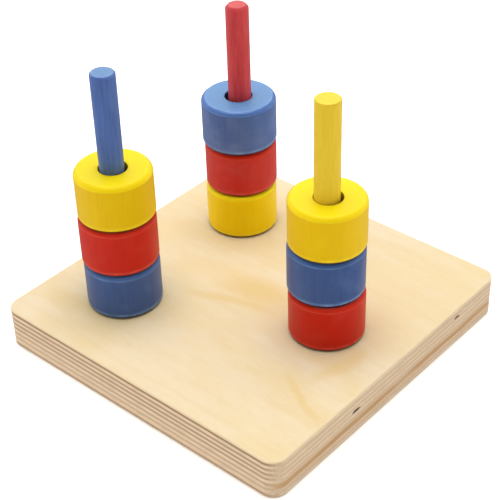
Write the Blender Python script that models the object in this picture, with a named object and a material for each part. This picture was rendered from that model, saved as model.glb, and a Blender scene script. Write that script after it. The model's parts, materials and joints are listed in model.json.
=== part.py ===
"""Colour-stacking peg puzzle: a plywood board, three painted dowels and nine painted discs.

The board lies on the plane z = 0 with the centre of its underside at the origin. The dowels stand
in a triangle, the yellow one at the front (-Y). Three discs sit on each dowel, one on another, and
lift off it along +Z.
"""

import math

import bmesh
import bpy

MM = 0.001

# Board, cut from birch plywood
BOARD_SIDE = 140.0 * MM
BOARD_THICKNESS = 17.4 * MM
CORNER_RADIUS = 6.1 * MM
RIM_EASE = 0.6 * MM

# Dowels, glued into blind sockets in the board
PEG_RADII = {"blue": 4.8 * MM, "red": 4.65 * MM, "yellow": 4.88 * MM}
PEG_TIP_CHAMFERS = {"blue": 0.6 * MM, "red": 1.1 * MM, "yellow": 0.4 * MM}
PEG_ABOVE_BOARD = 100.4 * MM
SOCKET_DEPTH = 11.2 * MM
GLUE_GAP = 0.3 * MM
PEG_PLACES = {
    "blue": (-34.6 * MM, 37.6 * MM),
    "red": (36.1 * MM, 36.0 * MM),
    "yellow": (0.1 * MM, -36.9 * MM),
}

# Discs, all of one nominal size: 30 mm across and 20 mm high
DISC_HOLE_RADIUS = 5.6 * MM
DISC_HEIGHT = 19.7 * MM
DISC_EDGE_RADIUS = 1.4 * MM
DISC_HOLE_CHAMFER = 0.35 * MM
REST_GAP = 0.3 * MM

# The colours on each dowel, from the bottom disc up
LEVELS = ("bottom", "middle", "top")
STACKS = {
    "blue": ("blue", "red", "yellow"),
    "red": ("yellow", "red", "blue"),
    "yellow": ("red", "blue", "yellow"),
}

# Their radii as turned, from the bottom disc up
DISC_RADII = {
    "blue": (14.95 * MM, 15.15 * MM, 15.1 * MM),
    "red": (14.7 * MM, 14.8 * MM, 15.2 * MM),
    "yellow": (14.75 * MM, 14.85 * MM, 14.85 * MM),
}

# Where each disc has settled beside its dowel's axis, within the play of its hole
SETTLED = {
    "blue": ((-0.24 * MM, -0.65 * MM), (0.10 * MM, 0.0), (0.63 * MM, 0.29 * MM)),
    "red": ((-0.83 * MM, 0.05 * MM), (0.14 * MM, 0.55 * MM), (0.03 * MM, 0.83 * MM)),
    "yellow": ((-0.18 * MM, -0.58 * MM), (0.36 * MM, 0.35 * MM), (0.59 * MM, 0.14 * MM)),
}

# Facets
CORNER_STEPS = 8
RIM_STEPS = 2
PEG_SIDES = 32
PEG_TIP_STEPS = 2
DISC_SIDES = 40
DISC_EDGE_STEPS = 2
SMOOTH_ANGLE = math.radians(40.0)

# Name: base colour, roughness
FINISHES = {
    "birch_plywood": ((0.83, 0.66, 0.44), 0.55),
    "blue_paint": ((0.065, 0.13, 0.36), 0.38),
    "red_paint": ((0.47, 0.035, 0.03), 0.38),
    "yellow_paint": ((0.86, 0.60, 0.02), 0.38),
}


def clear_scene():
    for obj in list(bpy.data.objects):
        bpy.data.objects.remove(obj, do_unlink=True)


def make_finishes():
    """One Principled BSDF material for each finish; nothing here is metal."""
    finishes = {}
    for name, (colour, roughness) in FINISHES.items():
        material = bpy.data.materials.new(name)
        material.use_nodes = True
        shader = material.node_tree.nodes["Principled BSDF"]
        shader.inputs["Base Color"].default_value = (*colour, 1.0)
        shader.inputs["Roughness"].default_value = roughness
        shader.inputs["Metallic"].default_value = 0.0
        finishes[name] = material
    return finishes


def add_object(name, bm, location, material=None):
    """Turns a bmesh into an object whose origin is at location."""
    mesh = bpy.data.meshes.new(name)
    bm.to_mesh(mesh)
    bm.free()
    mesh.shade_smooth()
    mesh.set_sharp_from_angle(angle=SMOOTH_ANGLE)
    if material:
        mesh.materials.append(material)
    obj = bpy.data.objects.new(name, mesh)
    obj.location = location
    bpy.context.scene.collection.objects.link(obj)
    return obj


def arc(centre, radius, start, end, steps):
    """Points on an arc, both ends included; angles are in degrees."""
    points = []
    for step in range(steps + 1):
        angle = math.radians(start + (end - start) * step / steps)
        x = centre[0] + radius * math.cos(angle)
        y = centre[1] + radius * math.sin(angle)
        points.append((x, y))
    return points


def horizontal_edges(bm, height):
    """The edges that lie at one height."""
    return [edge for edge in bm.edges if all(abs(v.co.z - height) < 1e-6 for v in edge.verts)]


def make_board(material):
    """The square slab with round corners and an eased rim."""
    inner = BOARD_SIDE / 2 - CORNER_RADIUS
    corners = ((inner, inner), (-inner, inner), (-inner, -inner), (inner, -inner))
    outline = []
    for index, corner in enumerate(corners):
        outline += arc(corner, CORNER_RADIUS, 90 * index, 90 * index + 90, CORNER_STEPS)
    bm = bmesh.new()
    underside = bm.faces.new([bm.verts.new((x, y, 0.0)) for x, y in outline])
    raised = bmesh.ops.extrude_face_region(bm, geom=[underside])["geom"]
    top_verts = [item for item in raised if isinstance(item, bmesh.types.BMVert)]
    bmesh.ops.translate(bm, verts=top_verts, vec=(0.0, 0.0, BOARD_THICKNESS))
    bmesh.ops.recalc_face_normals(bm, faces=bm.faces)
    rims = horizontal_edges(bm, 0.0) + horizontal_edges(bm, BOARD_THICKNESS)
    bmesh.ops.bevel(bm, geom=rims, offset=RIM_EASE, segments=RIM_STEPS, profile=0.5, affect="EDGES")
    return add_object("board", bm, (0.0, 0.0, 0.0), material)


def drill_socket(board, colour, place):
    """Cuts the blind socket that holds one dowel's foot."""
    clear = 1.0 * MM
    depth = SOCKET_DEPTH + GLUE_GAP + clear
    radius = PEG_RADII[colour] + GLUE_GAP
    bm = bmesh.new()
    bmesh.ops.create_cone(
        bm,
        cap_ends=True,
        segments=PEG_SIDES,
        radius1=radius,
        radius2=radius,
        depth=depth,
    )
    cutter = add_object(
        f"{colour}_socket_cutter", bm, (*place, BOARD_THICKNESS + clear - depth / 2)
    )
    cutter.hide_render = True
    cutter.display_type = "WIRE"
    cut = board.modifiers.new(f"{colour}_socket", "BOOLEAN")
    cut.operation = "DIFFERENCE"
    cut.solver = "EXACT"
    cut.object = cutter


def make_peg(colour, place, material):
    """A dowel with a chamfered tip; its origin is at the centre of its foot."""
    length = SOCKET_DEPTH + PEG_ABOVE_BOARD
    radius = PEG_RADII[colour]
    bm = bmesh.new()
    bmesh.ops.create_cone(
        bm, cap_ends=True, segments=PEG_SIDES, radius1=radius, radius2=radius, depth=length
    )
    bmesh.ops.translate(bm, verts=bm.verts, vec=(0.0, 0.0, length / 2))
    bmesh.ops.bevel(
        bm,
        geom=horizontal_edges(bm, length),
        offset=PEG_TIP_CHAMFERS[colour],
        segments=PEG_TIP_STEPS,
        profile=0.5,
        affect="EDGES",
    )
    return add_object(f"{colour}_peg", bm, (*place, BOARD_THICKNESS - SOCKET_DEPTH), material)


def disc_profile(radius):
    """The disc's section: down the round-edged outside, then up the hole."""
    edge = radius - DISC_EDGE_RADIUS
    high = DISC_HEIGHT - DISC_EDGE_RADIUS
    hole_mouth = DISC_HOLE_RADIUS + DISC_HOLE_CHAMFER
    outside = arc((edge, high), DISC_EDGE_RADIUS, 90, 0, DISC_EDGE_STEPS)
    outside += arc((edge, DISC_EDGE_RADIUS), DISC_EDGE_RADIUS, 0, -90, DISC_EDGE_STEPS)
    hole = [
        (hole_mouth, 0.0),
        (DISC_HOLE_RADIUS, DISC_HOLE_CHAMFER),
        (DISC_HOLE_RADIUS, DISC_HEIGHT - DISC_HOLE_CHAMFER),
        (hole_mouth, DISC_HEIGHT),
    ]
    return outside + hole


def make_disc(name, radius, location, material):
    """A turned ring; its origin is at the foot of its own axis, along which it slides."""
    bm = bmesh.new()
    ring = [bm.verts.new((reach, 0.0, height)) for reach, height in disc_profile(radius)]
    for start, end in zip(ring, ring[1:] + ring[:1]):
        bm.edges.new((start, end))
    disc = add_object(name, bm, location, material)
    turn = disc.modifiers.new("turn", "SCREW")
    turn.axis = "Z"
    turn.angle = math.tau
    turn.steps = DISC_SIDES
    turn.render_steps = DISC_SIDES
    turn.use_merge_vertices = True
    turn.merge_threshold = 1e-5
    turn.use_smooth_shade = True
    return disc


def make_stack(colour, place, finishes):
    """The three discs of one dowel, each resting a hair above what is below it."""
    for level, paint in enumerate(STACKS[colour]):
        shift = SETTLED[colour][level]
        height = BOARD_THICKNESS + REST_GAP + level * (DISC_HEIGHT + REST_GAP)
        name = f"{colour}_peg_{LEVELS[level]}_{paint}_disc"
        location = (place[0] + shift[0], place[1] + shift[1], height)
        make_disc(name, DISC_RADII[colour][level], location, finishes[f"{paint}_paint"])


def main():
    clear_scene()
    finishes = make_finishes()
    board = make_board(finishes["birch_plywood"])
    for colour, place in PEG_PLACES.items():
        drill_socket(board, colour, place)
        make_peg(colour, place, finishes[f"{colour}_paint"])
        make_stack(colour, place, finishes)


main()
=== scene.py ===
"""Looks of the colour-stacking peg puzzle: birch plywood, painted dowels and painted wooden discs.

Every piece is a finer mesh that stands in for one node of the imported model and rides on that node's
body. Lengths are in metres unless a name ends in _MM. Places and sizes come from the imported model.
"""

import json
import math

import bpy
import numpy as np
from mathutils import Matrix, Vector, noise
from mathutils.geometry import tessellate_polygon

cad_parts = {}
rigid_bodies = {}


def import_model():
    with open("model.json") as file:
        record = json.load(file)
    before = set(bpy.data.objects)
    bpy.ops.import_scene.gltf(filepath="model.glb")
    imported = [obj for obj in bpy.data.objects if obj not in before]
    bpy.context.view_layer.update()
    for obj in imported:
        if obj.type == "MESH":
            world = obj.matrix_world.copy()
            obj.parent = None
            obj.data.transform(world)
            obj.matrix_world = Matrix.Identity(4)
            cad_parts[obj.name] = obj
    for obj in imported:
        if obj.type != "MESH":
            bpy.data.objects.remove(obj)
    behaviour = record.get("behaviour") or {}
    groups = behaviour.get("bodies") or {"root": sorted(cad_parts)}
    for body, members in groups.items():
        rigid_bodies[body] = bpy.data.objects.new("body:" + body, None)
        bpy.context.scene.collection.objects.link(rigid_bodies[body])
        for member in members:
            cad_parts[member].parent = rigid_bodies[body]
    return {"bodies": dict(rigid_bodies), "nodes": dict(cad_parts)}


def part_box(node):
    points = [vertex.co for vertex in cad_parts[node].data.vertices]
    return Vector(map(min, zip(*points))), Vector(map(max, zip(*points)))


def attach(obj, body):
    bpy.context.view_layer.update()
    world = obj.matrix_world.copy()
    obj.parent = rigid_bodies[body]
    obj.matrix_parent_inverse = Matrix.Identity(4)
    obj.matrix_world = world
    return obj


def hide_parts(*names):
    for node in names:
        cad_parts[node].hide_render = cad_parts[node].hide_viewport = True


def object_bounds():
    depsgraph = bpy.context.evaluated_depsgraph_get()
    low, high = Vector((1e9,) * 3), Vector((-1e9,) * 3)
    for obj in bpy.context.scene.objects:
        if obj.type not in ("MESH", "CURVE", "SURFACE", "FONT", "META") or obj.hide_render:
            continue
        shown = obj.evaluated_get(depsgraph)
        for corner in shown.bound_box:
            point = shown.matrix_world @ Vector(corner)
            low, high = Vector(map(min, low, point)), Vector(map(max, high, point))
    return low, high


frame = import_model()
cad_low, cad_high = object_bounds()

MM = 0.001

# Camera: how it looks at the puzzle. Angles are in degrees
CAMERA_AZIMUTH = -48.15
CAMERA_ELEVATION = 36.03
CAMERA_ROLL = -1.836
CAMERA_DISTANCE = 0.54614
CAMERA_TARGET = (0.01989, 0.01866)
CAMERA_LENS_MM = 94.354
CAMERA_SENSOR_MM = 36.0

# Board
RIM_RADIUS = 0.6 * MM
CORNER_RADIUS = 6.1 * MM
SOCKET_PLAY = 0.05 * MM
# Middles of the plies whose grain runs along X, down from the top as shares of the thickness, with
# how dark each one's end grain is
CROSS_PLIES = (
    (0.076, 0.95),
    (0.218, 0.72),
    (0.348, 0.70),
    (0.474, 0.66),
    (0.622, 0.50),
    (0.762, 0.40),
    (0.930, 0.62),
)
CROSS_PLY_HALF = 0.030
# From the middle of a cross ply down to where the darkness of its end grain starts to hold
CROSS_PLY_REACH = 0.065
# How far a cross ply takes to fade into its neighbours, on each side of the glue line
PLY_FADE = 0.06 * MM
GLUE_GROOVE = 0.035 * MM
SAWN_ROUGHNESS = 0.02 * MM
VOID_DEPTH = 1.6 * MM
RIM_ANGLES = (0, 18, 36, 54, 72)
WALL_ROWS = 70
CORNER_STEPS = 14

# Dowels and discs
TIP_CHAMFERS = {"blue": 0.6 * MM, "red": 1.1 * MM, "yellow": 0.4 * MM}
HOLE_RADIUS = 5.6 * MM
HOLE_EASE = 0.3 * MM
DISC_BEVEL = 1.6 * MM
DISC_FOOT = 1.15 * MM
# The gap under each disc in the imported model, and what is left of it here
CAD_GAP = 0.3 * MM
PAPER_GAP = 0.05 * MM
# How far the turned discs are from true
DISC_OVAL = 0.035 * MM
DISC_LOBES = 0.02 * MM
DISC_RIPPLE = 0.030 * MM
DISC_DISH = 0.05 * MM
TIP_WEAR = 0.12 * MM

# Points round each turned piece and socket, and steps on a rounded edge
DISC_SIDES = 160
DOWEL_SIDES = 96
SOCKET_SIDES = 64
EASE_STEPS = 4

# Studio: a faintly warm, even light from all round, the paper, the white dome and the lamps
ROOM_LIGHT = (1.0, 0.95, 0.87, 1.0)
ROOM_STRENGTH = 0.37
FLOOR_REACH = 6.0
FLOOR_CELLS = 12
WALL_REACH = 5.7
WALL_SIDES = 48
WALL_RINGS = 12
WALL_START_DEGREES = -3.0
LAMP_TARGET = (0.0, 0.0, 0.04)
# Name, place, width, height and watts. The back lamp only gives the paint its sheen
SHEEN_LAMP = "back"
LAMPS = (
    ("key", (0.10, 0.09, 1.7), 1.0, 1.0, 23.0),
    (SHEEN_LAMP, (0.82, 0.74, 0.86), 1.5, 1.0, 6.6),
    ("left_side", (-0.41, 0.98, 0.55), 1.5, 1.1, 4.6),
    ("right_side", (0.93, -0.51, 0.55), 1.5, 1.1, 4.6),
)

COLOURS = ("blue", "red", "yellow")
# How far the hole of this disc is drilled off its centre
HOLE_SHIFTS = {"yellow_peg_top_yellow_disc": (0.02 * MM, -0.30 * MM)}


# ---------------------------------------------------------------- shader nodes


class Shader:
    """Adds nodes to one material, so that a pattern reads as a short list of steps."""

    def __init__(self, name):
        self.material = bpy.data.materials.new(name)
        self.material.use_nodes = True
        self.tree = self.material.node_tree
        self.surface = self.tree.nodes["Principled BSDF"]

    def link(self, source, socket):
        if isinstance(source, bpy.types.NodeSocket):
            self.tree.links.new(source, socket)
        else:
            socket.default_value = source

    def attribute(self, name, output="Fac"):
        node = self.tree.nodes.new("ShaderNodeAttribute")
        node.attribute_name = name
        return node.outputs[output]

    def parts(self, vector):
        """The X, Y and Z of a vector, by name."""
        node = self.tree.nodes.new("ShaderNodeSeparateXYZ")
        self.link(vector, node.inputs["Vector"])
        return node.outputs

    def length(self, vector):
        node = self.tree.nodes.new("ShaderNodeVectorMath")
        node.operation = "LENGTH"
        self.link(vector, node.inputs[0])
        return node.outputs["Value"]

    def scaled(self, vector, scale, shift=(0.0, 0.0, 0.0)):
        node = self.tree.nodes.new("ShaderNodeMapping")
        node.inputs["Scale"].default_value = scale
        node.inputs["Location"].default_value = shift
        self.link(vector, node.inputs["Vector"])
        return node.outputs["Vector"]

    def noise(self, vector, scale=1.0, detail=2.0, roughness=0.5, distortion=0.0):
        node = self.tree.nodes.new("ShaderNodeTexNoise")
        node.inputs["Scale"].default_value = scale
        node.inputs["Detail"].default_value = detail
        node.inputs["Roughness"].default_value = roughness
        node.inputs["Distortion"].default_value = distortion
        self.link(vector, node.inputs["Vector"])
        return node.outputs["Fac"]

    def math(self, operation, first, second=0.0, third=0.0):
        node = self.tree.nodes.new("ShaderNodeMath")
        node.operation = operation
        for value, socket in zip((first, second, third), node.inputs):
            self.link(value, socket)
        return node.outputs["Value"]

    def span(self, value, low, high, to_low=0.0, to_high=1.0):
        """Value from low..high as to_low..to_high, held at its ends."""
        node = self.tree.nodes.new("ShaderNodeMapRange")
        node.interpolation_type = "SMOOTHSTEP"
        inputs = (value, low, high, to_low, to_high)
        for item, socket in zip(inputs, node.inputs):
            self.link(item, socket)
        return node.outputs["Result"]

    def mix(self, factor, first, second):
        node = self.tree.nodes.new("ShaderNodeMix")
        node.data_type = "RGBA"
        for item, key in ((factor, 0), (first, 6), (second, 7)):
            self.link(item, node.inputs[key])
        return node.outputs[2]

    def tint(self, colour, amount, strength, over):
        """The colour with another one over it, as far as the amount times the strength."""
        return self.mix(self.math("MULTIPLY", amount, strength), colour, over)

    def ramp(self, value, stops, interpolation="LINEAR"):
        """stops: (position, colour) pairs."""
        node = self.tree.nodes.new("ShaderNodeValToRGB")
        node.color_ramp.interpolation = interpolation
        elements = node.color_ramp.elements
        while len(elements) < len(stops):
            elements.new(0.5)
        for element, (position, colour) in zip(elements, stops):
            element.position = position
            element.color = colour
        self.link(value, node.inputs["Fac"])
        return node.outputs["Color"]

    def bump(self, height, distance, strength=1.0):
        node = self.tree.nodes.new("ShaderNodeBump")
        node.inputs["Strength"].default_value = strength
        node.inputs["Distance"].default_value = distance
        self.link(height, node.inputs["Height"])
        self.link(node.outputs["Normal"], self.surface.inputs["Normal"])

    def finish(self, colour, roughness):
        self.link(colour, self.surface.inputs["Base Color"])
        self.link(roughness, self.surface.inputs["Roughness"])
        return self.material


def rgb(red, green, blue):
    return (red, green, blue, 1.0)


def grey(value):
    return (value, value, value, 1.0)


# ---------------------------------------------------------------- materials

# Paint: base colour, colour where it pools in the grain, colour of lighter mottling and of painted
# highlights on the rims, and the lighter colour of the flat faces, which is painted top light
PAINTS = {
    "blue": (
        rgb(0.040, 0.100, 0.315),
        rgb(0.014, 0.042, 0.180),
        rgb(0.26, 0.44, 0.74),
        rgb(0.125, 0.275, 0.535),
    ),
    "red": (
        rgb(0.60, 0.016, 0.006),
        rgb(0.42, 0.006, 0.003),
        rgb(0.80, 0.15, 0.10),
        rgb(0.66, 0.035, 0.015),
    ),
    "yellow": (
        rgb(0.89, 0.575, 0.002),
        rgb(0.76, 0.425, 0.001),
        rgb(0.94, 0.78, 0.04),
        rgb(0.86, 0.69, 0.008),
    ),
}
# Dowels take the same paint over tighter, more open grain
DOWEL_PAINTS = {
    "blue": (
        rgb(0.072, 0.150, 0.440),
        rgb(0.028, 0.065, 0.250),
        rgb(0.20, 0.34, 0.58),
        rgb(0.120, 0.245, 0.47),
    ),
    "red": (
        rgb(0.635, 0.068, 0.080),
        rgb(0.37, 0.016, 0.024),
        rgb(0.72, 0.15, 0.15),
        rgb(0.60, 0.100, 0.105),
    ),
    "yellow": (
        rgb(0.81, 0.58, 0.044),
        rgb(0.70, 0.45, 0.018),
        rgb(0.86, 0.66, 0.11),
        rgb(0.84, 0.62, 0.055),
    ),
}
PAINT_GLOSS = {"blue": 0.55, "red": 0.30, "yellow": 0.26}
PAINT_TINTS = {
    "blue": rgb(0.70, 0.82, 1.0),
    "red": rgb(1.0, 0.45, 0.35),
    "yellow": rgb(1.0, 0.86, 0.20),
}
# How much of the flat faces' painted top light the bevels share
BEVEL_PAINTED_LIGHT = {"blue": 0.13, "red": 0.30, "yellow": 0.60}
# Painted light and shade on the side of these discs: red, green and blue factors that make their coat
# lighter or darker next to the others of their colour, as the light falls on them
PAINTED_SIDE_LIGHT = {
    "blue_peg_top_yellow_disc": (0.89, 0.89, 1.0),
    "red_peg_bottom_yellow_disc": (1.10, 1.20, 0.5),
    "yellow_peg_top_yellow_disc": (0.91, 0.91, 1.0),
    "blue_peg_bottom_blue_disc": (0.88, 0.90, 0.93),
    "yellow_peg_middle_blue_disc": (0.80, 0.84, 0.90),
    "yellow_peg_bottom_red_disc": (0.93, 0.7, 0.3),
    "red_peg_top_blue_disc": (1.14, 1.20, 1.25),
    "red_peg_middle_red_disc": (1.06, 1.0, 0.5),
}
MOST_SIDE_COLOUR = 0.98
# A pale veil of painted light on the sides of two discs on the red dowel, and the heights over which
# it ends
PAINTED_LIGHT_VEILS = {"red_peg_top_blue_disc": 0.085, "red_peg_middle_red_disc": 0.035}
LIGHT_VEIL_COLOUR = rgb(0.52, 0.54, 0.66)
LIGHT_VEIL_ENDS_MM = (17.5, 18.3)
# How much of the pooled colour is left where the painted shade in the crevices is darkest
PAINTED_SHADE_SHARES = (0.15, 0.08, 0.12)
DISC_STREAKS = 0.22
DOWEL_STREAKS = 0.42


def shaded(paint, shade):
    """The paint with its base and pooled colours, which cover the sides, made lighter or darker by
    painted light and shade.
    """
    sides = []
    for colour in paint[:2]:
        channels = [min(MOST_SIDE_COLOUR, part * share) for part, share in zip(colour, shade)]
        sides.append(rgb(*channels))
    return (*sides, *paint[2:])


def paint_material(name, paint, colour_name, streaks, seed, light_veil=0.0):
    """Satin paint on turned wood, its grain along the axis. grain_mm is the place in the wood."""
    base, pooled, mottle_and_highlight, lit_top = paint
    s = Shader(name)
    place = s.attribute("grain_mm", "Vector")
    shift = (seed * 17.0, seed * 5.0, seed * 29.0)
    fibres = s.noise(s.scaled(place, (2.6, 2.6, 0.10), shift), detail=3.0, roughness=0.6)
    broad = s.noise(s.scaled(place, (0.42, 0.42, 0.035), shift), detail=2.0)
    blotches = s.noise(s.scaled(place, (0.12, 0.12, 0.12), shift), detail=2.0)
    speckle = s.noise(s.scaled(place, (5.0, 5.0, 2.2), shift), detail=2.0, roughness=0.7)
    streak = s.math("MULTIPLY", s.span(fibres, 0.42, 0.72), streaks)
    streak = s.math("MULTIPLY_ADD", s.span(broad, 0.40, 0.70), 0.6 * streaks, streak)
    colour = s.mix(streak, base, pooled)
    colour = s.tint(colour, s.span(blotches, 0.45, 0.75), 0.07, mottle_and_highlight)
    colour = s.mix(s.span(speckle, 0.45, 0.70, 0.0, 0.5 * streaks), colour, pooled)
    # Flat faces: end grain with darker scuffs, in a lighter colour that is painted top light
    scratched = s.scaled(place, (0.55, 2.4, 1.0), shift)
    scuffs = s.noise(scratched, detail=4.0, roughness=0.75, distortion=0.6)
    scuffed_lit_top = s.mix(s.span(scuffs, 0.50, 0.70, 0.0, 0.15 + streaks), lit_top, base)
    colour = s.mix(s.attribute("face"), colour, scuffed_lit_top)
    # Painted highlight lines along the rims
    colour = s.tint(colour, s.attribute("rim"), s.span(speckle, 0.34, 0.62, 0.25, 0.80), mottle_and_highlight)
    if light_veil:
        # The painted light veil covers the side, not the bevel and the top face
        veil_amount = s.math("MULTIPLY", s.span(blotches, 0.2, 0.8, 0.6, 1.4), light_veil)
        below = s.span(s.parts(place)["Z"], *LIGHT_VEIL_ENDS_MM, 1.0, 0.0)
        colour = s.tint(colour, veil_amount, below, LIGHT_VEIL_COLOUR)
    painted_shade_colour = [share * channel for share, channel in zip(PAINTED_SHADE_SHARES, pooled)]
    # Painted shade in the crevices: the discs' feet, their holes and the dowels' chamfers
    colour = s.tint(colour, s.attribute("painted_shade"), 0.90, rgb(*painted_shade_colour))
    roughness = s.math("MULTIPLY_ADD", blotches, 0.12, 0.36)
    roughness = s.math("MULTIPLY_ADD", streak, 0.10, roughness)
    height = s.math("MULTIPLY_ADD", fibres, -1.0, s.math("MULTIPLY", speckle, 0.35))
    s.bump(height, 0.06 * MM, 0.5)
    s.surface.inputs["Specular IOR Level"].default_value = PAINT_GLOSS[colour_name]
    s.surface.inputs["Specular Tint"].default_value = PAINT_TINTS[colour_name]
    return s.finish(colour, roughness)


# Honey-coloured flames in the face veneer, one of them painted shadow: X and Y of the middle, turn in
# degrees clockwise, half length, half width, and how strong the colour is
FLAMES_AND_SHADOW_MM = (
    (1.0, -1.0, 72.0, 17.0, 7.5, 0.90),
    (-11.5, 3.0, 72.0, 19.0, 2.4, 0.75),
    (2.0, 24.0, 60.0, 16.0, 6.0, 0.35),
    (-38.4, -55.6, -63.0, 15.0, 2.0, 0.75),
    # Mostly painted shadow at the foot of the yellow dowel's stack, in the honey colour
    (-14.0, -55.0, 12.0, 13.0, 3.0, 0.60),
    (-49.0, 56.0, -75.0, 20.0, 3.5, 0.40),
    (44.0, -30.0, -80.0, 30.0, 4.0, 0.14),
    (-20.0, -30.0, -62.0, 34.0, 3.0, 0.12),
)
# Colours of the face veneer and of the sawn edges
VENEER = {
    "warm": rgb(0.742, 0.598, 0.352),
    "pale": rgb(0.755, 0.638, 0.440),
    "honey": rgb(0.70, 0.512, 0.205),
    "band": rgb(0.69, 0.525, 0.29),
    "fibre": rgb(0.56, 0.41, 0.23),
    "fleck": rgb(0.62, 0.46, 0.25),
}
EDGE = {
    "light": rgb(0.77, 0.605, 0.42),
    "dull": rgb(0.735, 0.57, 0.375),
    "left_and_right": rgb(0.82, 0.63, 0.435),
    "front_lip": rgb(0.80, 0.64, 0.42),
    "brown_ply": rgb(0.56, 0.30, 0.105),
    "cross_end": rgb(0.32, 0.19, 0.085),
    "long_end": rgb(0.42, 0.27, 0.165),
    "fibre": rgb(0.44, 0.285, 0.165),
    "glue": rgb(0.30, 0.19, 0.11),
    # Partly darker wood, partly painted contact shadow at the bottom of the edge
    "hem_and_contact_shadow": rgb(0.24, 0.125, 0.055),
    "rim": rgb(0.755, 0.615, 0.395),
    # Painted shade inside the voids
    "hollow": rgb(0.030, 0.012, 0.008),
}
# Level of the brown ply as a share of the thickness, and where it starts and stops fading
BROWN_PLY = (0.32, 0.05, 0.10)


def veneer_figure_and_shadow(s, place):
    """The honey pattern of the face veneer, with a painted shadow at the foot of the yellow dowel's
    stack: 0 pale, 1 honey.
    """
    drift = s.noise(s.scaled(place, (0.045, 0.030, 0.02)), detail=3.0)
    push = s.tree.nodes.new("ShaderNodeCombineXYZ")
    s.link(s.math("MULTIPLY_ADD", drift, 14.0, -7.0), push.inputs["X"])
    s.link(s.math("MULTIPLY_ADD", drift, -10.0, 5.0), push.inputs["Y"])
    warped = s.tree.nodes.new("ShaderNodeVectorMath")
    warped.operation = "ADD"
    s.link(place, warped.inputs[0])
    s.link(push.outputs["Vector"], warped.inputs[1])
    total = 0.0
    for x, y, turn, half_length, half_width, depth in FLAMES_AND_SHADOW_MM:
        frame_of_flame = s.tree.nodes.new("ShaderNodeMapping")
        frame_of_flame.vector_type = "TEXTURE"
        frame_of_flame.inputs["Location"].default_value = (x, y, 0.0)
        frame_of_flame.inputs["Rotation"].default_value = (0.0, 0.0, math.radians(-turn))
        frame_of_flame.inputs["Scale"].default_value = (half_length, half_width, 1000.0)
        s.link(warped.outputs["Vector"], frame_of_flame.inputs["Vector"])
        reach = s.length(frame_of_flame.outputs["Vector"])
        total = s.math("ADD", total, s.span(reach, 0.3, 1.6, depth, 0.0))
    return s.math("MINIMUM", total, 1.0)


def face_material():
    """Clear-lacquered birch face veneer, rotary cut, with its grain along Y."""
    s = Shader("birch_face")
    place = s.attribute("grain_mm", "Vector")
    figure_and_shadow = veneer_figure_and_shadow(s, place)
    fibres = s.noise(s.scaled(place, (3.2, 0.10, 1.0)), detail=3.0, roughness=0.6)
    bands = s.noise(s.scaled(place, (0.30, 0.012, 1.0)), detail=3.0)
    flecks = s.noise(s.scaled(place, (1.3, 0.35, 1.0)), detail=3.0, roughness=0.7)
    cloud = s.noise(s.scaled(place, (0.075, 0.028, 1.0)), detail=4.0, roughness=0.6)
    colour = s.mix(s.span(cloud, 0.38, 0.64), VENEER["warm"], VENEER["pale"])
    colour = s.tint(colour, figure_and_shadow, 0.80, VENEER["honey"])
    colour = s.tint(colour, s.span(bands, 0.45, 0.75), 0.22, VENEER["band"])
    colour = s.tint(colour, s.span(fibres, 0.50, 0.78), 0.14, VENEER["fibre"])
    colour = s.tint(colour, s.span(flecks, 0.54, 0.76), 0.20, VENEER["fleck"])
    roughness = s.math("MULTIPLY_ADD", fibres, 0.14, 0.42)
    height = s.math("MULTIPLY_ADD", fibres, -1.0, s.math("MULTIPLY", flecks, -0.6))
    s.bump(height, 0.05 * MM, 0.45)
    s.surface.inputs["Specular IOR Level"].default_value = 0.25
    return s.finish(colour, roughness)


def ply_stops(thickness):
    """Ramp stops up the edge: 1 in the plies whose grain runs along X, 0 in those along Y."""
    soft = PLY_FADE / thickness
    stops = [(0.0, grey(0.0))]
    for middle, _ in reversed(CROSS_PLIES):
        low, high = 1.0 - middle - CROSS_PLY_HALF, 1.0 - middle + CROSS_PLY_HALF
        stops += [(low - soft, grey(0.0)), (low + soft, grey(1.0))]
        stops += [(high - soft, grey(1.0)), (high + soft, grey(0.0))]
    return stops


def dark_stops():
    """Ramp stops up the edge: how dark each cross ply's end grain is."""
    return [(1.0 - middle - CROSS_PLY_REACH, grey(dark)) for middle, dark in reversed(CROSS_PLIES)]


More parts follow.
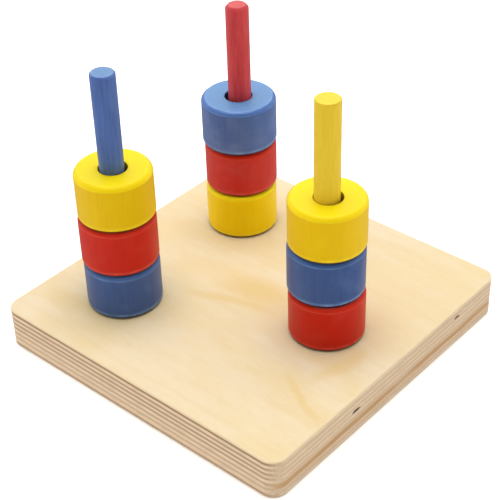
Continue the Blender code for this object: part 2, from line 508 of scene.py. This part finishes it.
def edge_material(thickness):
    """The board's edges: plies by turns end grain and long grain, with dark glue lines between."""
    s = Shader("birch_edge")
    place = s.attribute("grain_mm", "Vector")
    wander = s.noise(s.scaled(place, (0.09, 0.09, 0.3)), detail=3.0)
    level = s.math("MULTIPLY", s.parts(place)["Z"], MM / thickness)
    level = s.math("SUBTRACT", s.math("MULTIPLY_ADD", wander, 0.012, level), 0.006)
    along_x = s.ramp(level, ply_stops(thickness))
    dark = s.ramp(level, dark_stops(), "CONSTANT")
    end_on = s.attribute("end_on_x")
    # End grain of the cross plies shows on the left and right sides, that of the others in front
    facing_y = s.math("SUBTRACT", 1.0, end_on)
    cross_end = s.math("MULTIPLY", along_x, end_on)
    long_end = s.math("MULTIPLY", s.math("SUBTRACT", 1.0, along_x), facing_y)
    glue = s.math("SUBTRACT", 1.0, s.math("ABSOLUTE", s.math("MULTIPLY_ADD", along_x, 2.0, -1.0)))
    fibre_x = s.noise(s.scaled(place, (0.14, 1.5, 1.5)), detail=4.0, roughness=0.7)
    fibre_y = s.noise(s.scaled(place, (1.5, 0.14, 1.5)), detail=4.0, roughness=0.7)
    fibres = s.mix(along_x, fibre_y, fibre_x)
    patches = s.noise(s.scaled(place, (0.05, 0.05, 0.35), (4.0, 2.0, 1.0)), detail=2.0)
    colour = s.mix(s.span(patches, 0.35, 0.65), EDGE["light"], EDGE["dull"])
    colour = s.mix(end_on, colour, EDGE["left_and_right"])
    lip = s.math("MULTIPLY", s.span(level, 0.915, 0.94), facing_y)
    colour = s.tint(colour, lip, 0.85, EDGE["front_lip"])
    # A brown ply runs low in the front and back sides
    brown_level, fade_start, fade_end = BROWN_PLY
    off_middle = s.math("ABSOLUTE", s.math("SUBTRACT", level, brown_level))
    brown = s.math("SUBTRACT", 1.0, s.span(off_middle, fade_start, fade_end))
    brown = s.math("MULTIPLY", brown, facing_y)
    colour = s.tint(colour, brown, s.span(patches, 0.27, 0.60, 0.52, 0.95), EDGE["brown_ply"])
    colour = s.tint(colour, cross_end, dark, EDGE["cross_end"])
    colour = s.tint(colour, long_end, 0.32, EDGE["long_end"])
    colour = s.tint(colour, s.span(fibres, 0.44, 0.68), 0.40, EDGE["fibre"])
    colour = s.tint(colour, glue, 0.30, EDGE["glue"])
    # The lower rim is darker, partly darker wood and partly painted contact shadow where the board
    # meets the floor, and the upper one belongs to the face veneer
    colour = s.mix(s.span(level, 0.0, 0.045, 0.65, 0.0), colour, EDGE["hem_and_contact_shadow"])
    colour = s.mix(s.span(level, 0.958, 0.972), colour, EDGE["rim"])
    # The voids are painted near-black: painted shade inside them
    hollow = s.span(s.attribute("hollow"), 0.02, 0.30, 0.0, 0.95)
    colour = s.mix(hollow, colour, EDGE["hollow"])
    roughness = s.math("MULTIPLY_ADD", cross_end, 0.15, 0.50)
    height = s.math("MULTIPLY_ADD", fibres, -1.0, s.math("MULTIPLY", cross_end, -0.5))
    s.bump(height, 0.08 * MM, 0.5)
    s.surface.inputs["Specular IOR Level"].default_value = 0.3
    return s.finish(colour, roughness)


def floor_material():
    """Matt white seamless paper."""
    s = Shader("white_paper")
    place = s.tree.nodes.new("ShaderNodeTexCoord").outputs["Object"]
    tooth = s.noise(place, scale=900.0, detail=3.0)
    colour = s.mix(tooth, rgb(0.93, 0.93, 0.93), rgb(0.96, 0.96, 0.96))
    s.surface.inputs["Specular IOR Level"].default_value = 0.0
    s.surface.inputs["Emission Color"].default_value = rgb(1.0, 1.0, 1.0)
    # Far from the object, where the lamps don't reach, the paper keeps its white by itself
    strength = s.span(s.length(place), 0.3, 1.2, 0.30, 0.85)
    s.link(strength, s.surface.inputs["Emission Strength"])
    return s.finish(colour, s.math("MULTIPLY_ADD", tooth, 0.1, 0.8))


def backdrop_material():
    """An evenly lit white wall."""
    s = Shader("white_wall")
    s.surface.inputs["Emission Color"].default_value = rgb(1.0, 1.0, 1.0)
    s.surface.inputs["Emission Strength"].default_value = 1.0
    place = s.tree.nodes.new("ShaderNodeTexCoord").outputs["Object"]
    return s.finish(s.mix(s.noise(place, scale=3.0), grey(0.90), grey(0.94)), 0.9)


# ---------------------------------------------------------------- meshes


def smooth_object(name, points, faces, materials):
    mesh = bpy.data.meshes.new(name)
    mesh.from_pydata([tuple(point) for point in points], [], faces)
    mesh.validate()
    mesh.shade_smooth()
    for material in materials:
        mesh.materials.append(material)
    obj = bpy.data.objects.new(name, mesh)
    bpy.context.scene.collection.objects.link(obj)
    return obj


def set_attribute(obj, name, values, kind="FLOAT"):
    """Stores one value, or one vector, for each point."""
    attribute = obj.data.attributes.new(name, kind, "POINT")
    key = "vector" if kind == "FLOAT_VECTOR" else "value"
    attribute.data.foreach_set(key, np.asarray(values, dtype=np.float32).ravel())


def mark_paint(obj, places, rim_highlights, lit_tops, painted_shades):
    """Stores what the paint needs to know at each point of a turned piece: grain, painted highlights,
    painted top light and painted shade.
    """
    set_attribute(obj, "grain_mm", places, "FLOAT_VECTOR")
    set_attribute(obj, "rim", np.clip(rim_highlights, 0, 1))
    set_attribute(obj, "face", lit_tops)
    set_attribute(obj, "painted_shade", painted_shades)


def arc(centre, radius, start, end, steps):
    """Points on an arc; angles are in degrees."""
    points = []
    for step in range(steps + 1):
        angle = math.radians(start + (end - start) * step / steps)
        points.append((centre[0] + radius * math.cos(angle), centre[1] + radius * math.sin(angle)))
    return points


def line(start, end, steps):
    """Points along a straight run, both ends left out."""
    shares = [step / steps for step in range(1, steps)]
    return [tuple(a + (b - a) * share for a, b in zip(start, end)) for share in shares]


def ring_faces(rows, columns, closed):
    """Quads between rings of points; a closed section joins its last ring to its first."""
    faces = []
    for row in range(rows if closed else rows - 1):
        below = row * columns
        above = ((row + 1) % rows) * columns
        for column in range(columns):
            beside = (column + 1) % columns
            faces.append((above + column, above + beside, below + beside, below + column))
    return faces


# ---------------------------------------------------------------- discs


def near(value, middle, spread):
    """1 at the middle, falling off to 0 over about twice the spread."""
    return math.exp(-(((value - middle) / spread) ** 2))


def rounded(corners, easings):
    """The path through these corners, each inner one rounded off over its easing."""
    path = [corners[0]]
    for before, corner, after, easing in zip(corners, corners[1:], corners[2:], easings):
        here = Vector(corner)
        start = here + (Vector(before) - here).normalized() * easing
        end = here + (Vector(after) - here).normalized() * easing
        for step in range(EASE_STEPS + 1):
            share = step / EASE_STEPS
            point = start.lerp(here, share).lerp(here.lerp(end, share), share)
            path.append((point.x, point.y))
    path.append(corners[-1])
    return path


def disc_section(radius, height, bevel):
    """Down the outside from the top face, across the foot and up the hole."""
    mouth = HOLE_RADIUS + HOLE_EASE
    corners = [
        (radius - bevel - 0.5 * MM, height),
        (radius - bevel, height),
        (radius - 0.34 * bevel, height - 0.36 * bevel),
        (radius, height - bevel),
        (radius, height - bevel - 0.5 * MM),
    ]
    section = rounded(corners, (0.14 * MM, 0.45 * MM, 0.30 * MM))
    section += line(section[-1], (radius, DISC_FOOT + 0.5 * MM), 16)
    foot = [
        (radius, DISC_FOOT + 0.5 * MM),
        (radius, DISC_FOOT),
        (radius - 0.46 * DISC_FOOT, 0.30 * DISC_FOOT),
        (radius - DISC_FOOT, 0.0),
        (radius - DISC_FOOT - 0.5 * MM, 0.0),
    ]
    section += rounded(foot, (0.25 * MM, 0.25 * MM, 0.25 * MM))
    section += line(section[-1], (mouth, 0.0), 6)
    section += arc((mouth, HOLE_EASE), HOLE_EASE, 270, 180, 3)
    section += line((HOLE_RADIUS, HOLE_EASE), (HOLE_RADIUS, height - HOLE_EASE), 10)
    section += arc((mouth, height - HOLE_EASE), HOLE_EASE, 180, 90, 3)
    section += line((mouth, height), section[0], 10)
    return section


def disc_marks(radius, level, girth, height, bevel, bevel_painted_light):
    """(rim, face, painted_shade) here on the section: how much painted highlight, painted top light
    and painted shade it takes.
    """
    outside = (radius - HOLE_RADIUS) / (girth - HOLE_RADIUS)
    # Painted highlight lines: at the edge of the top face, at the foot of the bevel and just above
    # the foot
    rim = 0.95 * near(radius, girth - bevel, 0.22 * MM) * (level > height - 0.2 * MM)
    if outside > 0.9:
        rim += 0.60 * near(level, height - bevel, 0.22 * MM)
        rim += 1.00 * near(level, DISC_FOOT + 0.38 * MM, 0.24 * MM)
    # The lighter colour of the flat faces is painted top light, and the bevel takes a share of it
    face = 0.0
    if level > height - bevel:
        face = bevel_painted_light
    if level > height - 0.05 * MM or level < 0.05 * MM:
        face = 1.0 if radius < girth - bevel + 0.05 * MM else face
    # Painted shade in the foot's rounding, where the disc meets the one below or the board, and on
    # the hole's wall
    painted_shade = 0.0
    if outside > 0.8 and level < height / 2:
        painted_shade = min(1.0, max(0.0, (DISC_FOOT + 0.02 * MM - level) / (0.18 * MM)))
    if radius < HOLE_RADIUS + 0.05 * MM:
        painted_shade = 0.6
    return rim, face, painted_shade


def make_disc(node, material, seed, bevel_painted_light):
    """A turned and painted disc: not quite round, bevelled round its top, with hand-eased edges."""
    low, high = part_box(node)
    centre = (low + high) / 2
    girth = (high.x - low.x) / 2
    foot = low.z - (CAD_GAP - PAPER_GAP)
    height = high.z - foot
    random = np.random.RandomState(seed)
    bevel = DISC_BEVEL * random.uniform(0.92, 1.08)
    section = disc_section(girth, height, bevel)
    phase = random.uniform(0.0, math.tau, 3)
    pith_x, pith_y = 3.0 * math.cos(phase[2]), 3.0 * math.sin(phase[2])
    hole_x, hole_y = HOLE_SHIFTS.get(node, (0.0, 0.0))
    points, places, rim_highlights, lit_tops, painted_shades = [], [], [], [], []
    for radius, level in section:
        outside = (radius - HOLE_RADIUS) / (girth - HOLE_RADIUS)
        rim, flat, painted_shade = disc_marks(radius, level, girth, height, bevel, bevel_painted_light)
        inside = 1.0 - outside
        for side in range(DISC_SIDES):
            angle = math.tau * side / DISC_SIDES
            oval = DISC_OVAL * math.sin(2 * angle + phase[0])
            lobes = DISC_LOBES * math.sin(3 * angle + phase[1])
            wave = level / (9 * MM) + seed * 7.3
            seat = Vector((math.cos(angle) * 0.8, math.sin(angle) * 0.8, wave))
            ripple = DISC_RIPPLE * noise.noise(seat)
            reach = radius + (oval + lobes + ripple) * outside
            x, y = reach * math.cos(angle), reach * math.sin(angle)
            dish = DISC_DISH * noise.noise(Vector((x / 0.007, y / 0.007, seed * 3.1)))
            z = level + (dish * outside * inside * 2 if level > height / 2 else 0.0)
            off_x, off_y = x + hole_x * inside, y + hole_y * inside
            points.append((centre.x + off_x, centre.y + off_y, foot + min(z, height)))
            places.append((x / MM + pith_x, y / MM + pith_y, level / MM))
            rim_highlights.append(rim * (0.8 + 0.6 * noise.noise(Vector((x * 300, y * 300, level * 300)))))
            lit_tops.append(flat)
            painted_shades.append(painted_shade)
    faces = ring_faces(len(section), DISC_SIDES, closed=True)
    disc = smooth_object("painted_" + node, points, faces, [material])
    mark_paint(disc, places, rim_highlights, lit_tops, painted_shades)
    return disc


# ---------------------------------------------------------------- dowels


def dowel_section(radius, length, chamfer):
    """From near the tip's centre out, down the side and round the foot."""
    ease = 0.35 * chamfer
    foot = 0.3 * MM
    corners = [
        (0.2 * radius, length),
        (radius - chamfer, length),
        (radius, length - 1.15 * chamfer),
        (radius, foot),
        (radius - foot, 0.0),
    ]
    path = rounded(corners, (ease, ease, 0.3 * foot))
    # The first point and two rounded corners come before the long side
    side_start = 1 + 2 * (EASE_STEPS + 1)
    top_flat = line(path[0], path[1], 6)
    side = line(path[side_start - 1], path[side_start], 60)
    return path[:1] + top_flat + path[1:side_start] + side + path[side_start:]


def make_peg(node, material, seed, chamfer):
    """A painted dowel: fine lengthwise grain, a chamfered tip and a slightly rough end."""
    low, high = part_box(node)
    centre = (low + high) / 2
    length = high.z - low.z
    girth = (high.x - low.x) / 2
    section = dowel_section(girth, length, chamfer)
    points, places, rim_highlights, lit_tops, painted_shades = [], [], [], [], []
    for radius, level in section:
        near_tip = (length - level) / chamfer
        # A painted highlight along the tip's edge
        rim = 0.25 * near(near_tip, 0.0, 0.25) * (radius > 0.6 * girth)
        # Painted shade just below the tip's edge, in the chamfer
        painted_shade = 0.30 * near(near_tip, 0.65, 0.45)
        # The tip's flat face takes the lighter colour of painted top light
        flat = 1.0 if near_tip < 0.05 else 0.0
        for side in range(DOWEL_SIDES):
            angle = math.tau * side / DOWEL_SIDES
            across, along = math.cos(angle), math.sin(angle)
            grain = noise.noise(Vector((across * 9, along * 9, level * 25 + seed)))
            bow = noise.noise(Vector((across, along, level * 60 + seed * 2)))
            reach = radius * (1 + 0.0035 * grain + 0.004 * bow - 0.003)
            x, y = reach * math.cos(angle), reach * math.sin(angle)
            drop = 0.0
            if level > length - chamfer:
                dent = noise.noise(Vector((x / 0.0012, y / 0.0012, seed)))
                drop = TIP_WEAR * max(0.0, dent)
            points.append((centre.x + x, centre.y + y, low.z + level - drop))
            places.append((x / MM, y / MM, level / MM))
            rim_highlights.append(rim)
            lit_tops.append(flat)
            painted_shades.append(painted_shade)
    faces = ring_faces(len(section), DOWEL_SIDES, closed=False)
    tip = len(points)
    points += [(centre.x, centre.y, high.z), (centre.x, centre.y, low.z)]
    places += [(0.0, 0.0, length / MM), (0.0, 0.0, 0.0)]
    rim_highlights += [0.0, 0.0]
    lit_tops += [1.0, 1.0]
    painted_shades += [0.0, 0.0]
    last = (len(section) - 1) * DOWEL_SIDES
    for side in range(DOWEL_SIDES):
        beside = (side + 1) % DOWEL_SIDES
        faces.append((tip, side, beside))
        faces.append((tip + 1, last + beside, last + side))
    peg = smooth_object("painted_" + node, points, faces, [material])
    mark_paint(peg, places, rim_highlights, lit_tops, painted_shades)
    return peg


# ---------------------------------------------------------------- board

# Gaps in the core veneers where they open at the front side: place along it, depth below the top,
# length and height
VOIDS_MM = (
    (-24.0, 6.7, 5.2, 1.20),
    (41.1, 4.3, 4.0, 1.05),
)


def side_stations(half):
    """Distances along one straight side, closer together beside a void."""
    reach = half - CORNER_RADIUS
    stations = set(np.round(np.arange(-reach, reach, 1.5 * MM), 6))
    for place, _, length, _ in VOIDS_MM:
        middle = place * MM
        spread = length * MM * 0.75
        stations |= set(np.round(np.arange(middle - spread, middle + spread, 0.2 * MM), 6))
    ordered = sorted(station for station in stations if -reach <= station < reach)
    kept = [ordered[0]]
    for station in ordered[1:]:
        if station - kept[-1] > 0.15 * MM:
            kept.append(station)
    return kept


def perimeter(half):
    """Points round the board with their outward normals, counter-clockwise from the front."""
    reach = half - CORNER_RADIUS
    stations = side_stations(half)
    path = []
    for turn in range(4):
        spin = Matrix.Rotation(turn * math.pi / 2, 2)
        for station in stations:
            path.append((spin @ Vector((station, -half)), spin @ Vector((0.0, -1.0))))
        for step in range(CORNER_STEPS):
            angle = -math.pi / 2 + math.pi / 2 * step / CORNER_STEPS
            out = Vector((math.cos(angle), math.sin(angle)))
            corner = Vector((reach, -reach)) + out * CORNER_RADIUS
            path.append((spin @ corner, spin @ out))
    return path


def board_levels(thickness):
    """Rows up the edge as (height, inset): round rims, and close rows between them."""
    rows = []
    for angle in RIM_ANGLES:
        turn = math.radians(angle)
        rows.append((RIM_RADIUS * (1 - math.cos(turn)), RIM_RADIUS * (1 - math.sin(turn))))
    wall = np.linspace(RIM_RADIUS, thickness - RIM_RADIUS, WALL_ROWS)
    rows += [(height, 0.0) for height in wall]
    for angle in reversed(RIM_ANGLES):
        turn = math.radians(angle)
        height = thickness - RIM_RADIUS * (1 - math.cos(turn))
        rows.append((height, RIM_RADIUS * (1 - math.sin(turn))))
    return rows


def void_depth(spot, out, height, thickness):
    """How far a void takes the surface in at this point: 0 outside it, 1 at its deepest."""
    deepest = 0.0
    if out.y > -0.99:
        return deepest
    for place, below, length, tall in VOIDS_MM:
        along = (spot.x / MM - place) / (length / 2)
        up = ((thickness - height) / MM - below) / (tall / 2)
        jag = 0.30 * noise.noise(Vector((spot.x * 1500, height * 2500, place)))
        inside = 1.0 - (along * along + up * up) + jag
        deepest = max(deepest, min(1.0, max(0.0, inside * 2.0)))
    return deepest


def make_board(node, materials, pegs):
    """The plywood slab: sanded edges with open grain, voids in the core, sockets for the dowels."""
    low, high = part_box(node)
    half = (high.x - low.x) / 2
    thickness = high.z - low.z
    path = perimeter(half)
    glue_lines = []
    for middle, _ in CROSS_PLIES:
        glue_lines += [(1.0 - middle + side * CROSS_PLY_HALF) * thickness for side in (-1, 1)]
    points, hollows, ends = [], [], []
    for height, inset in board_levels(thickness):
        nearest = min(abs(height - line_height) for line_height in glue_lines)
        groove = GLUE_GROOVE * near(nearest, 0.0, 0.12 * MM)
        for spot, out in path:
            grain = noise.noise(Vector((spot.x * 900, spot.y * 900, height * 2600)))
            hollow = void_depth(spot, out, height, thickness)
            depth = inset + groove + SAWN_ROUGHNESS * (1 + grain) + VOID_DEPTH * hollow
            point = spot - out * depth
            points.append((point.x, point.y, low.z + height))
            hollows.append(hollow)
            ends.append(out.x * out.x)
    columns = len(path)
    rows = len(points) // columns
    walls = []
    for row in range(rows - 1):
        base = row * columns
        walls += quad_band(base, base + columns, columns)
    points, faces = cap_board(points, walls, columns, rows, pegs, high.z)
    board = smooth_object("plywood_" + node, points, faces, materials)
    extra = len(points) - len(hollows)
    set_attribute(board, "hollow", hollows + [0.0] * extra)
    set_attribute(board, "end_on_x", ends + [0.0] * extra)
    places = np.array(points) / MM
    places[:, 2] -= low.z / MM
    set_attribute(board, "grain_mm", places, "FLOAT_VECTOR")
    # The edge material and smooth shading are for the walls, which come first
    is_wall = [index < len(walls) for index in range(len(board.data.polygons))]
    board.data.polygons.foreach_set("material_index", [int(wall) for wall in is_wall])
    board.data.polygons.foreach_set("use_smooth", is_wall)
    return board


def quad_band(first, second, count):
    """Quads between two rings of points, given where each ring starts."""
    quads = []
    for step in range(count):
        beside = (step + 1) % count
        quads.append((first + step, first + beside, second + beside, second + step))
    return quads


def cap_board(points, walls, columns, rows, pegs, top):
    """Closes the slab with its two faces; the top one opens into the sockets."""
    points = list(points)
    underside = tuple(range(columns - 1, -1, -1))
    loops = [list(range((rows - 1) * columns, rows * columns))]
    socket_faces = []
    for peg_low, peg_high in pegs:
        centre = (peg_low + peg_high) / 2
        wide = (peg_high.x - peg_low.x) / 2 + SOCKET_PLAY
        shape = ((wide + 0.25 * MM, top), (wide, top - 0.25 * MM), (wide, peg_low.z - 0.3 * MM))
        start = len(points)
        for radius, height in shape:
            for side in range(SOCKET_SIDES):
                angle = math.tau * side / SOCKET_SIDES
                x = centre.x + radius * math.cos(angle)
                y = centre.y + radius * math.sin(angle)
                points.append((x, y, height))
        for row in range(len(shape) - 1):
            base = start + row * SOCKET_SIDES
            socket_faces += quad_band(base, base + SOCKET_SIDES, SOCKET_SIDES)
        loops.append(list(range(start, start + SOCKET_SIDES)))
        last = start + (len(shape) - 1) * SOCKET_SIDES
        socket_faces.append(tuple(range(last, last + SOCKET_SIDES)))
    faces = walls + [underside] + fill_with_holes(points, loops) + socket_faces
    return points, faces


def fill_with_holes(points, loops):
    """Triangles of a flat face with holes, looking up. The first loop is the outline."""
    flat = [index for loop in loops for index in loop]
    triangles = tessellate_polygon([[Vector(points[index]) for index in loop] for loop in loops])
    faces = []
    for triangle in triangles:
        face = tuple(flat[corner] for corner in triangle)
        a, b, c = (Vector(points[index]) for index in face)
        faces.append(face if (b - a).cross(c - a).z > 0 else face[::-1])
    return faces


# ---------------------------------------------------------------- the puzzle


def place_piece(piece, node):
    """Each disc is a body of its own; the rest is fixed together."""
    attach(piece, node if node in frame["bodies"] else "base")
    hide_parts(node)


def make_puzzle():
    board_low, board_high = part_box("board")
    materials = [face_material(), edge_material(board_high.z - board_low.z)]
    peg_boxes = [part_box(f"{colour}_peg") for colour in COLOURS]
    place_piece(make_board("board", materials, peg_boxes), "board")
    for seed, colour in enumerate(COLOURS):
        name, paint = f"{colour}_dowel_paint", DOWEL_PAINTS[colour]
        material = paint_material(name, paint, colour, DOWEL_STREAKS, seed)
        node = f"{colour}_peg"
        peg = make_peg(node, material, seed + 1, TIP_CHAMFERS[colour])
        place_piece(peg, node)
    discs = sorted(node for node in frame["nodes"] if node.endswith("_disc"))
    for seed, node in enumerate(discs):
        colour = node.split("_")[-2]
        paint = shaded(PAINTS[colour], PAINTED_SIDE_LIGHT.get(node, (1.0, 1.0, 1.0)))
        name, light_veil = f"paint_of_{node}", PAINTED_LIGHT_VEILS.get(node, 0.0)
        material = paint_material(name, paint, colour, DISC_STREAKS, seed + 3, light_veil)
        disc = make_disc(node, material, seed + 11, BEVEL_PAINTED_LIGHT[colour])
        place_piece(disc, node)


# ---------------------------------------------------------------- studio


def aim(obj, target):
    obj.rotation_mode = "QUATERNION"
    obj.rotation_quaternion = (Vector(target) - obj.location).to_track_quat("-Z", "Y")


def softbox(name, place, target, width, height, watts):
    lamp = bpy.data.lights.new(name, "AREA")
    lamp.shape = "RECTANGLE"
    lamp.size = width
    lamp.size_y = height
    lamp.energy = watts
    obj = bpy.data.objects.new(name, lamp)
    bpy.context.scene.collection.objects.link(obj)
    obj.location = place
    aim(obj, target)
    return obj


def make_backdrop():
    """A white dome that only the camera sees, so that the light stays as it is."""
    points = []
    for ring in range(WALL_RINGS):
        rise = math.radians(WALL_START_DEGREES + 90.0 * ring / WALL_RINGS)
        out, up = WALL_REACH * math.cos(rise), WALL_REACH * math.sin(rise)
        for side in range(WALL_SIDES):
            turn = math.tau * side / WALL_SIDES
            points.append((out * math.cos(turn), out * math.sin(turn), up))
    faces = ring_faces(WALL_RINGS, WALL_SIDES, closed=False)
    faces.append(tuple(range((WALL_RINGS - 1) * WALL_SIDES, WALL_RINGS * WALL_SIDES)))
    dome = smooth_object("studio_backdrop", points, faces, [backdrop_material()])
    dome.visible_diffuse = False
    dome.visible_glossy = False
    dome.visible_shadow = False


def make_floor():
    grid = np.linspace(-FLOOR_REACH, FLOOR_REACH, FLOOR_CELLS + 1)
    points = [(x, y, 0.0) for y in grid for x in grid]
    faces = []
    for row in range(FLOOR_CELLS):
        for column in range(FLOOR_CELLS):
            base = row * (FLOOR_CELLS + 1) + column
            faces.append((base, base + 1, base + FLOOR_CELLS + 2, base + FLOOR_CELLS + 1))
    floor = smooth_object("studio_floor", points, faces, [floor_material()])
    floor.location.z = cad_low.z - 0.02 * MM
    floor.visible_glossy = False


def make_studio():
    """White paper under soft, even light."""
    make_floor()
    make_backdrop()
    world = bpy.data.worlds.new("studio")
    bpy.context.scene.world = world
    world.use_nodes = True
    background = world.node_tree.nodes["Background"]
    background.inputs["Color"].default_value = ROOM_LIGHT
    background.inputs["Strength"].default_value = ROOM_STRENGTH
    for name, place, width, height, watts in LAMPS:
        lamp = softbox(name, place, LAMP_TARGET, width, height, watts)
        lamp.visible_diffuse = name != SHEEN_LAMP
    bpy.context.scene.view_settings.view_transform = "Standard"


def make_camera():
    data = bpy.data.cameras.new("camera")
    data.sensor_width = CAMERA_SENSOR_MM
    data.lens = CAMERA_LENS_MM
    data.clip_start = 0.01
    data.clip_end = 50.0
    camera = bpy.data.objects.new("camera", data)
    bpy.context.scene.collection.objects.link(camera)
    azimuth, elevation = math.radians(CAMERA_AZIMUTH), math.radians(CAMERA_ELEVATION)
    back = Vector(
        (
            math.sin(azimuth) * math.cos(elevation),
            -math.cos(azimuth) * math.cos(elevation),
            math.sin(elevation),
        )
    )
    board_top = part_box("board")[1].z
    camera.location = Vector((*CAMERA_TARGET, board_top)) + back * CAMERA_DISTANCE
    level = (-back).to_track_quat("-Z", "Y").to_matrix()
    roll = Matrix.Rotation(math.radians(CAMERA_ROLL), 3, "Z")
    camera.rotation_mode = "QUATERNION"
    camera.rotation_quaternion = (level @ roll).to_quaternion()
    bpy.context.scene.camera = camera


make_camera()
make_puzzle()
make_studio()
